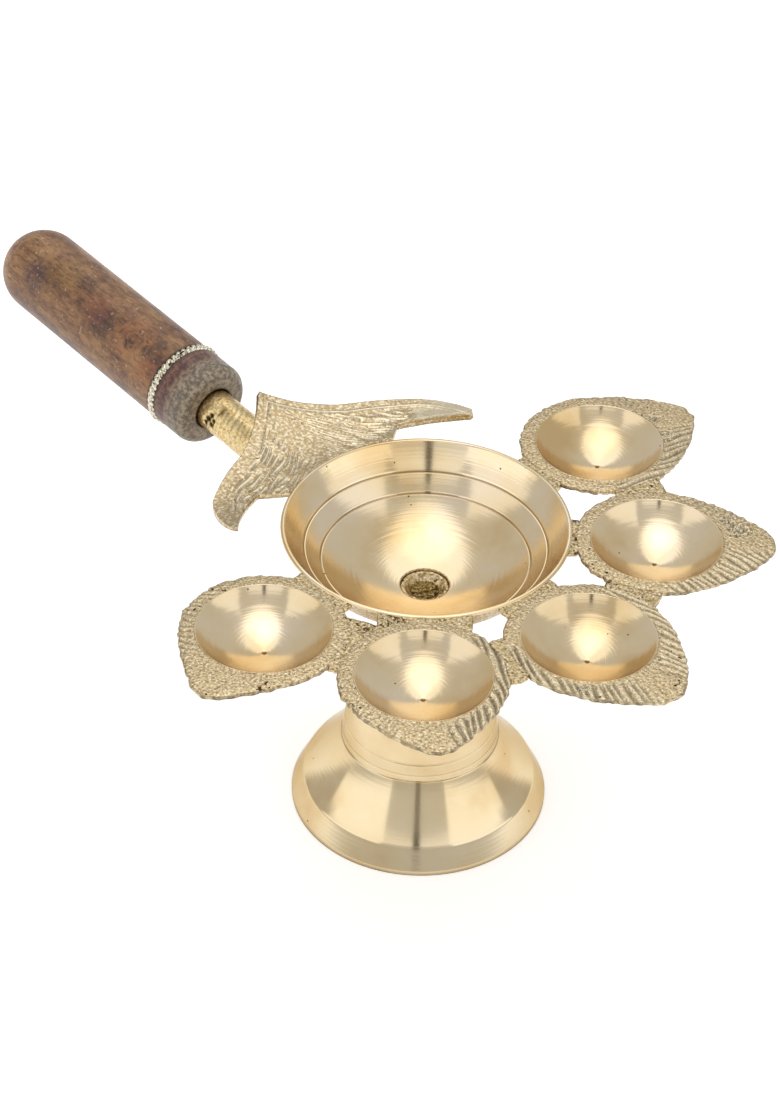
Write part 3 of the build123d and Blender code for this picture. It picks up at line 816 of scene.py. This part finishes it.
def buildWing():
    count, across = wing["steps"]
    left, right = wingSide(-1, wing["tips"][1], count), wingSide(1, wing["tips"][0], count)
    inner, outer = (np.vstack([a[:0:-1], b])[1:-1] for a, b in zip(left, right))
    share = np.linspace(-1, 1, 2 * count - 1)[1:-1]  # from the left horn's tip to the right one's
    keep = np.hypot(*(outer - inner).T) > np.where(share < 0, *wing["bluntness"])
    inner, outer, share = inner[keep], outer[keep], share[keep, None]
    t = np.linspace(0, 1, across)[None, :]
    plan = inner[:, None] + (outer - inner)[:, None] * t[..., None]
    width = np.hypot(*(outer - inner).T)[:, None]
    lean = (-bowlRadius - wing["lowLine"] - plan[..., 0]) / wing["curl"]
    height = rimHeight - wing["sink"] + wing["curl"] * (1 - np.sqrt(1 - lean ** 2))
    upwards = np.stack([lean, np.zeros_like(lean), np.sqrt(1 - lean ** 2)], -1)
    top = np.concatenate([plan, height[..., None]], -1)
    thick = wing["thickness"] * (1 - 0.5 * np.clip(-share, 0, 1) ** 2)  # thinner to the left
    bottom = top - upwards * thick[..., None]
    fromEdge = (1 - t) * width
    lift = wing["ribHeight"] * np.exp(-((fromEdge - wing["ribPlace"]) / wing["ribWidth"]) ** 2)
    narrow = np.clip(width / wing["fullWidth"], 0, 1)
    lift *= narrow * np.clip((share + 0.10) / 0.12, 0.15, 1)
    arc = wing["span"] * share
    main, cross = wing["dropLean"]
    for place, edge, length, wide, rise in wing["drops"]:
        along, inwards = arc - wing["span"] * place, fromEdge - edge
        slide, aside = along * main + inwards * cross, inwards * main - along * cross
        lift = np.maximum(lift, rise * np.exp(-(slide / length) ** 2 - (aside / wide) ** 2))
    top = top + upwards * (lift - wing["groundDown"])[..., None]
    middle = (top + bottom) / 2
    loop = np.concatenate([top, middle[:, -1:], bottom[:, ::-1][:, ::4], middle[:, :1]], 1)
    mesh = ringMesh("crestWing", loop, loop[0].mean(0), loop[-1].mean(0))
    run = np.abs(share)
    bent = np.where(share > 0, -wing["rightSlant"] * (run - run ** 2 / 2), wing["leftSlant"] * run)
    flow = fromEdge / wing["strokeSpacing"] + bent
    flow = flow + 0.25 * np.sin(arc / 5 + fromEdge / 2) + 0.12 * np.sin(arc / 2.3)  # no stroke is straight
    chance, strokes = np.random.default_rng(wing["seed"]), wing["strokes"]
    rank = np.clip(np.floor(flow) + strokes // 2, 0, strokes - 1).astype(int)
    starts, lengths = chance.uniform(0, math.tau, strokes), chance.uniform(0.35, 0.8, strokes)
    broken = np.clip(0.55 + 0.8 * np.sin(arc * lengths[rank] + starts[rank]), 0, 1)  # no stroke runs on
    inside = np.clip(fromEdge - wing["ribPlace"] - 0.5, 0, 1) * narrow
    inside *= np.clip((np.abs(share + 0.02) - 0.05) / 0.12, 0.15, 1)
    horn = np.clip((share - wing["rubbedFrom"]) / 0.15, 0, 1)  # hands rub the right horn bright
    raised = lift > 0.16
    phase, amount = np.zeros(loop.shape[:2]), np.zeros(loop.shape[:2])
    phase[:, :across] = np.where(raised | (horn > 0), 0.5, flow)
    cut = np.where(raised, np.clip(lift / 0.4, 0, 1), inside * broken)
    amount[:, :across] = np.maximum(cut, wing["rubbed"] * horn)
    setValues(mesh, ribPhase=phase, ribAmount=amount, castAmount=np.ones(loop.shape[:2]))
    mesh.transform(Matrix.Rotation(math.radians(wing["turn"]), 4, "Z"))
    outwards(mesh)
    piece = grow(newPiece("crestWing", mesh), skinTree,
                 {**castSizes, **wing["skin"], "Rib Depth": wing["strokeDepth"] * mm, "Material": wingMetal})
    finishPiece(piece, "head", "crest_wing")


buildWing()
print("wing cast")

# handle: rod, grip, ring and cement on one tilted axis, counted from the lamp's own axis
handle = {"height": 81.4, "tilt": 5.0, "gripStart": 95.5, "recess": (7.2, 2.0), "groove": 14.0}
tilt = math.radians(handle["tilt"])
gripAxis = Matrix(((0, -math.sin(tilt), -math.cos(tilt), 0), (1, 0, 0, 0),
                   (0, -math.cos(tilt), math.sin(tilt), handle["height"] * mm), (0, 0, 0, 1)))
ringPlace = handle["gripStart"] + handle["groove"]

# sheesham, turned and waxed: warm brown, mottled with dark figure along the grain, under a soft pale sheen.
# Each noise has its size in mm, detail, roughness and distortion; the fibres are drawn coarser than real ones
woodLook = {"light": "A47B50", "mid": "815A3B", "dark": "50372B", "pore": "3A2620", "fleck": "CBAA90",
            "swirl": "A8704A", "pitAndShade": "2B1E18", "roughness": 0.40, "fibreDepth": 0.06, "drawn": 0.22,
            "halfDrawn": 0.5, "bands": (7.0, 4.0, 0.5, 0.8), "fibres": (0.55, 3.0, 0.5, 0.0),
            "blot": (9.0, 5.0, 0.68, 0.0), "speck": (1.3, 2.0, 0.6, 0.0), "crumb": (2.6, 4.0, 0.7, 0.0),
            "sweep": (1.6, 2.0, 0.5, 0.0), "knot": (-7.6, -10.9, 125.4), "knotReach": (9, 6),
            "knotSpacing": 2.1, "knotBend": 5, "collar": ("4E302E", "664238", "7A5A48"),
            "face": ("665A4E", "857763", "A4957E")}
woodMarks = (("4A3036", (-10.2, -8.4, 171.3), 6.5, 0.8), ("7B5C2C", (-5.5, -12.1, 163.2), 8.0, 0.5),
             ("40292A", (-8.8, -9.9, 139.5), 6.0, 0.85), ("8E5541", (-6.6, -11.5, 144.0), 6.0, 0.5),
             ("A4683E", (-7.1, -11.2, 125.6), 7.2, 0.6), ("5D4430", (-7.6, -10.9, 125.4), 4.6, 0.75),
             ("33231E", (-8.8, -9.9, 125.9), 1.9, 0.9), ("3C332F", (-7.8, -10.7, 118.9), 2.6, 0.85),
             ("9A5C35", (-11.4, -6.7, 115.2), 6.0, 0.5))  # colour, place and reach in mm, strength


def sheeshamWood():
    material, add = newMaterial("sheeshamWood")
    place = add("TexCoord").outputs["Object"]
    onGrip = add("Mapping", {"Vector": place, "Location": gripAxis.translation,
                             "Rotation": gripAxis.to_euler()}, vector_type="TEXTURE").outputs[0]
    x, y, z = add("SeparateXYZ", (onGrip,)).outputs
    radius = add("VectorMath LENGTH", (add("CombineXYZ", (x, y)),)).outputs["Value"]
    drawn, halfDrawn = (add("Mapping", {"Vector": onGrip, "Scale": (1, 1, woodLook[name])})
                        for name in ("drawn", "halfDrawn"))
    noises = []
    for name, field in (("bands", drawn), ("fibres", drawn), ("blot", onGrip), ("speck", onGrip),
                        ("crumb", halfDrawn), ("sweep", add("CombineXYZ", (radius, z)))):
        size, detail, rough, bend = woodLook[name]
        noises.append(add("TexNoise", {"Vector": field, "Scale": 1 / (size * mm), "Detail": detail,
                                       "Roughness": rough, "Distortion": bend}))
    bands, fibres, blot, speck, crumb, sweep = noises
    mottle = add("Math MULTIPLY_ADD", (bands, 0.35, add("Math MULTIPLY", (blot, 0.3))))
    mottle = add("Math MULTIPLY_ADD", (crumb, 0.35, mottle))
    tone = add("ValToRGB", (mottle,), stops=((0.40, woodLook["dark"]), (0.48, woodLook["mid"]),
                                             (0.57, woodLook["light"])))
    layers = []  # masks, and the colours that they lay over the wood
    broken = add("MapRange", (speck, 0.32, 0.56, 0.25, 1.0))
    for code, spot, reach, strength in woodMarks:
        away = add("VectorMath DISTANCE", (onGrip, [v * mm for v in spot])).outputs["Value"]
        ragged = add("Math MULTIPLY_ADD", (crumb, -reach * mm * 2.2, away))
        blur = add("MapRange", (ragged, 0.0, -reach * mm * 0.6, 0.0, strength))
        layers.append((add("Math MULTIPLY", (blur, broken)), linear(code)))
    away = add("VectorMath DISTANCE", (onGrip, [v * mm for v in woodLook["knot"]])).outputs["Value"]
    bent = add("Math MULTIPLY_ADD", (crumb, woodLook["knotBend"] * mm, away))
    swirl = add("Math SINE", (add("Math MULTIPLY", (bent, math.tau / (woodLook["knotSpacing"] * mm))),))
    near = add("MapRange", (away, *[v * mm for v in woodLook["knotReach"]], 0.0, 0.45))
    ringed = add("Math MULTIPLY", (add("MapRange", (swirl, 0.0, 0.9)), near))
    layers.append((ringed, linear(woodLook["swirl"])))
    layers.append((add("MapRange", (fibres, 0.47, 0.35, 0.0, 0.55)), linear(woodLook["pore"])))
    layers.append((add("MapRange", (speck, 0.64, 0.72, 0.0, 0.7)), linear(woodLook["fleck"])))
    worn = add("Math MULTIPLY_ADD", (sweep, 0.4, add("Math MULTIPLY", (speck, 0.6))))
    start = handle["gripStart"]
    for name, low, high in (("collar", ringPlace, ringPlace - 0.4), ("face", start + 9.0, start + 4.5)):
        tint = add("ValToRGB", (worn,), stops=list(zip((0.42, 0.50, 0.58), woodLook[name])))
        layers.append((add("MapRange", (z, low * mm, high * mm)), tint))
    # painted shade in the ring's groove and round the recess where the rod enters
    fromRing = add("Math ABSOLUTE", (add("Math SUBTRACT", (z, ringPlace * mm)),))
    groove = add("MapRange", (fromRing, 2.3 * mm, 1.3 * mm, 0.0, 0.85))
    hole = add("MapRange", (radius, 7.4 * mm, 6.7 * mm, 0.0, 0.85))
    front = add("MapRange", (z, (start + 8) * mm, (start + 5) * mm))
    dirt = add("Math MAXIMUM", (groove, add("Math MULTIPLY", (hole, front))))
    layers.append((dirt, linear(woodLook["pitAndShade"])))
    colour = tone.outputs[0]
    for mask, paint in layers:
        colour = add("Mix", {0: mask, 6: colour, 7: paint}, data_type="RGBA").outputs[2]
    bump = add("Bump", {"Height": fibres, "Distance": woodLook["fibreDepth"] * mm})
    rough = add("MapRange", (fibres, 0.0, 1.0, woodLook["roughness"] - 0.08, woodLook["roughness"] + 0.1))
    wood = add("ShaderNodeBsdfPrincipled",
               {"Base Color": colour, "Roughness": rough, "Normal": bump, "IOR": 1.5})
    add("OutputMaterial", {"Surface": wood})
    return material


# grip: turned wood with a rounded nose, a groove for the ring and a domed end. Bore: its radius and its end
grip = {"length": 97.5, "radius": 13.25, "edge": 3.4, "bore": (4.9, 139.5), "recessEase": 0.45,
        "chamfer": 0.25, "grooveDepth": 1.25, "grooveHalf": 1.35, "grooveEdge": 1.5}


def buildGrip():
    start, radius, edge, ease = handle["gripStart"], grip["radius"], grip["edge"], grip["chamfer"]
    dome = start + grip["length"] - radius
    recess, floor = handle["recess"][0] - grip["recessEase"], start + handle["recess"][1]
    bore, boreEnd = grip["bore"]
    inside = [(0, boreEnd), (bore, boreEnd), (bore, floor), (recess, floor), (recess, start + ease),
              (recess + ease, start)]
    quarter = math.pi / 2
    nose = [(radius - edge + edge * math.sin(a), start + edge - edge * math.cos(a))
            for a in np.linspace(0, quarter, 24)]
    groove = [(radius - grip["grooveDepth"] * math.cos(a), ringPlace + grip["grooveHalf"] * math.sin(a))
              for a in np.linspace(-quarter, quarter, 22)]
    groove = [(radius, ringPlace - grip["grooveEdge"])] + groove + [(radius, ringPlace + grip["grooveEdge"])]
    ball = [(radius * math.cos(a), dome + radius * math.sin(a)) for a in np.linspace(0, quarter, 50)]
    piece = turnedPiece("woodGrip", inside + nose + groove + ball, sheeshamWood(), 160, 1.0)
    piece.data.transform(gripAxis)
    finishPiece(piece, "head", "handle_grip")


buildGrip()

# rod: cast, rippled and dented where it enters the wood. Dents: angle, place, depth and width
rod = {"radius": 6.3, "start": 18.0, "wallCentre": 124.8, "wallRadius": 46.9, "endRound": 3.2,
       "endInset": 0.5, "rippleSpacing": 2.0, "rippleDepth": 0.22, "unshadedFrom": 1.5, "steps": (160, 300),
       "dents": ((-163, 91.2, 0.7, 1.1), (-148, 90.4, 0.5, 0.8), (-174, 89.6, 0.6, 0.9),
                 (-158, 88.9, 0.5, 0.7), (-178, 92.0, 0.5, 0.7), (-121, 88.9, 0.6, 1.6)),
       "skin": {"Rib Sharpness": 1.0, "Valley Shade": 0.4, "Lump Depth": 0.4 * mm, "Grain Depth": 0.12 * mm,
                "Seed": 17.0}}


def buildRod():
    steps, count = rod["steps"]
    turns = np.arange(steps) * math.tau / steps
    radius, end = rod["radius"], handle["gripStart"] + handle["recess"][1]
    axis = np.array(gripAxis.to_3x3())
    base = np.array([0, 0, handle["height"]])
    away = base + np.stack([np.cos(turns), np.sin(turns), np.zeros(steps)], -1) @ axis.T * radius
    away = away - (0, 0, rod["wallCentre"])
    dot = away @ axis[:, 2]
    beside = dot ** 2 - (away * away).sum(1) + rod["wallRadius"] ** 2
    start = np.maximum(rod["start"], np.sqrt(np.maximum(0, beside)) - dot)  # half-way through the bowl's wall
    reach = start + (end - start) * np.linspace(0, 1, count)[:, None]
    girth = np.full(reach.shape, radius)
    girth -= rod["endInset"] * np.clip((reach - end + rod["endRound"]) / rod["endRound"], 0, 1) ** 3
    pitAndShade = np.zeros(reach.shape)
    for angle, place, deep, wide in rod["dents"]:
        turn = (turns - math.radians(angle) + math.pi) % math.tau - math.pi
        dent = np.exp(-((radius * turn[None]) ** 2 + (reach - place) ** 2) / wide ** 2)
        girth -= deep * dent
        # painted shade in the small dents; wider dents get none
        pitAndShade = np.maximum(pitAndShade, np.clip(2.4 * dent - 0.5, 0, 1) * (wide < rod["unshadedFrom"]))
    rings = base + np.stack([girth * np.cos(turns), girth * np.sin(turns), reach], -1) @ axis.T
    mesh = ringMesh("castRod", rings, rings[0].mean(0), rings[-1].mean(0))
    phase = reach / rod["rippleSpacing"] + 6 * np.sin(turns / 2)
    phase = phase + 0.5 * np.sin(2 * turns + reach / 5) + 0.3 * np.sin(reach / 2)
    patchy = np.clip(0.35 + 0.5 * np.sin(3 * turns + reach / 3) * np.sin(5 * turns - reach / 4.3), 0, 1)
    setValues(mesh, ribPhase=phase, ribAmount=patchy * np.clip((end - 6 - reach) / 6, 0, 1), dirt=pitAndShade,
              castAmount=np.ones_like(phase))
    outwards(mesh)
    piece = grow(newPiece("castRod", mesh), skinTree,
                 {**castSizes, **rod["skin"], "Rib Depth": rod["rippleDepth"] * mm, "Material": rodMetal})
    finishPiece(piece, "head", "tang_rod")


buildRod()

# ring: two strands of wire laid round each other in the grip's groove
ring = {"wire": 1.1, "proud": 0.35, "strand": 0.85, "lay": 0.7, "twists": 21, "stepsRound": 620,
        "strandSteps": 8}


def buildTwist():
    tree, add, given = newTree("twistedWire", Geometry=["Shape"],
                               Float=["Ring Radius", "Strand Radius", "Lay Radius"],
                               Int=["Twists"], Material=["Material"])
    circle, profile = (add("CurvePrimitiveCircle", {"Resolution": ring[steps], "Radius": given[radius]})
                       for steps, radius in (("stepsRound", "Ring Radius"), ("strandSteps", "Strand Radius")))
    share = add("SplineParameter").outputs["Factor"]
    angle = add("Math MULTIPLY", (share, add("Math MULTIPLY", (given["Twists"], math.tau))))
    out = add("VectorMath NORMALIZE", (add("InputPosition"),))
    strands = add("JoinGeometry")
    for lead in (0.0, math.pi):
        turn = add("Math ADD", (angle, lead))
        lift, push = (add("Math MULTIPLY", (add("Math " + wave, (turn,)), given["Lay Radius"]))
                      for wave in ("SINE", "COSINE"))
        side = add("VectorMath SCALE", {0: out, "Scale": push})
        both = add("VectorMath ADD", (side, add("CombineXYZ", {"Z": lift})))
        strand = add("SetPosition", {"Geometry": circle, "Offset": both})
        wire = add("CurveToMesh", {"Curve": strand, "Profile Curve": profile})
        tree.links.new(wire.outputs[0], strands.inputs[0])
    closeTree(add, strands, given["Material"])
    return tree


def buildRing():
    radius = grip["radius"] + ring["proud"] - ring["wire"]
    piece = newPiece("twistedRing", bpy.data.meshes.new("twistedRing"))
    grow(piece, buildTwist(), {"Ring Radius": radius * mm, "Strand Radius": ring["strand"] * mm,
                               "Lay Radius": ring["lay"] * mm, "Twists": ring["twists"],
                               "Material": wireMetal})
    piece.data.transform(gripAxis @ Matrix.Translation((0, 0, ringPlace * mm)))
    finishPiece(piece, "head", "binding_ring")


buildRing()
print("handle fitted")

# braze: run metal that set as a rough web between the castings, and ran a little over the edges that it joins
braze = {"Voxel": 0.26 * mm, "Lump Size": 1.9 * mm, "Lump Depth": 0.8 * mm, "Grain Size": 0.75 * mm,
         "Grain Depth": 0.4 * mm, "Overlap": 0.9 * mm, "Top": (rimHeight - 0.35) * mm}


def buildBrazeTree():
    tree, add, given = newTree("runBraze", Geometry=["Shape"], Float=[*braze, "Seed"], Material=["Material"])
    whole = add("MergeByDistance", {"Geometry": given["Shape"], "Distance": weld})
    cloud = add("MeshToVolume", {"Mesh": whole, "Density": 1.0, "Voxel Size": given["Voxel"],
                                 "Interior Band Width": 0.6 * mm}, resolution_mode="VOXEL_SIZE")
    skin = add("VolumeToMesh", {"Volume": cloud, "Threshold": 0.1})
    grit = addGrit(add, given, 0.0, 1.0)
    swell = add("Math ADD", (grit, given["Overlap"]))
    push = add("VectorMath SCALE", {0: add("InputNormal"), "Scale": swell})
    grown = add("SetPosition", {"Geometry": skin, "Offset": push})
    x, y, z = add("SeparateXYZ", (add("InputPosition"),)).outputs
    roof = add("Math ADD", (grit, given["Top"]))
    level = add("CombineXYZ", (x, y, add("Math MINIMUM", (z, roof))))
    closeTree(add, add("SetPosition", {"Geometry": grown, "Position": level}), given["Material"])
    return tree


brazeTree = buildBrazeTree()
for seed, node in enumerate(sorted(n for n in nodes if "_braze_" in n)):
    words = node.split("_")
    piece = newPiece(words[0] + "Braze" + words[2], nodes[node].data.copy())
    grow(piece, brazeTree, {**braze, "Seed": float(seed), "Material": brazeMetal})
    finishPiece(piece, "head", node)
print("brazing run")

# lac cement, poured hot round the tang: dark red-brown resin with a dull gloss and fine bubbles. Sizes in mm
lacLook = {"tones": ((0.35, "2E120C"), (0.55, "55261A"), (0.75, "6E3A26")), "cloud": 3, "bubble": 0.9,
           "depth": 0.08}


def lacCement():
    material, add = newMaterial("pouredLacCement")
    place = add("TexCoord").outputs["Object"]
    cloud = add("TexNoise", {"Vector": place, "Scale": 1 / (lacLook["cloud"] * mm), "Detail": 3.0})
    tone = add("ValToRGB", (cloud,), stops=lacLook["tones"])
    bubbles = add("TexVoronoi", {"Vector": place, "Scale": 1 / (lacLook["bubble"] * mm)})
    bump = add("Bump", {"Height": bubbles.outputs["Distance"], "Distance": lacLook["depth"] * mm})
    lac = add("ShaderNodeBsdfPrincipled", {"Base Color": tone, "Roughness": 0.35, "IOR": 1.52,
                                           "Normal": bump})
    add("OutputMaterial", {"Surface": lac})
    return material


nodes["tang_cement"].data.materials.clear()
nodes["tang_cement"].data.materials.append(lacCement())
print("cement poured")
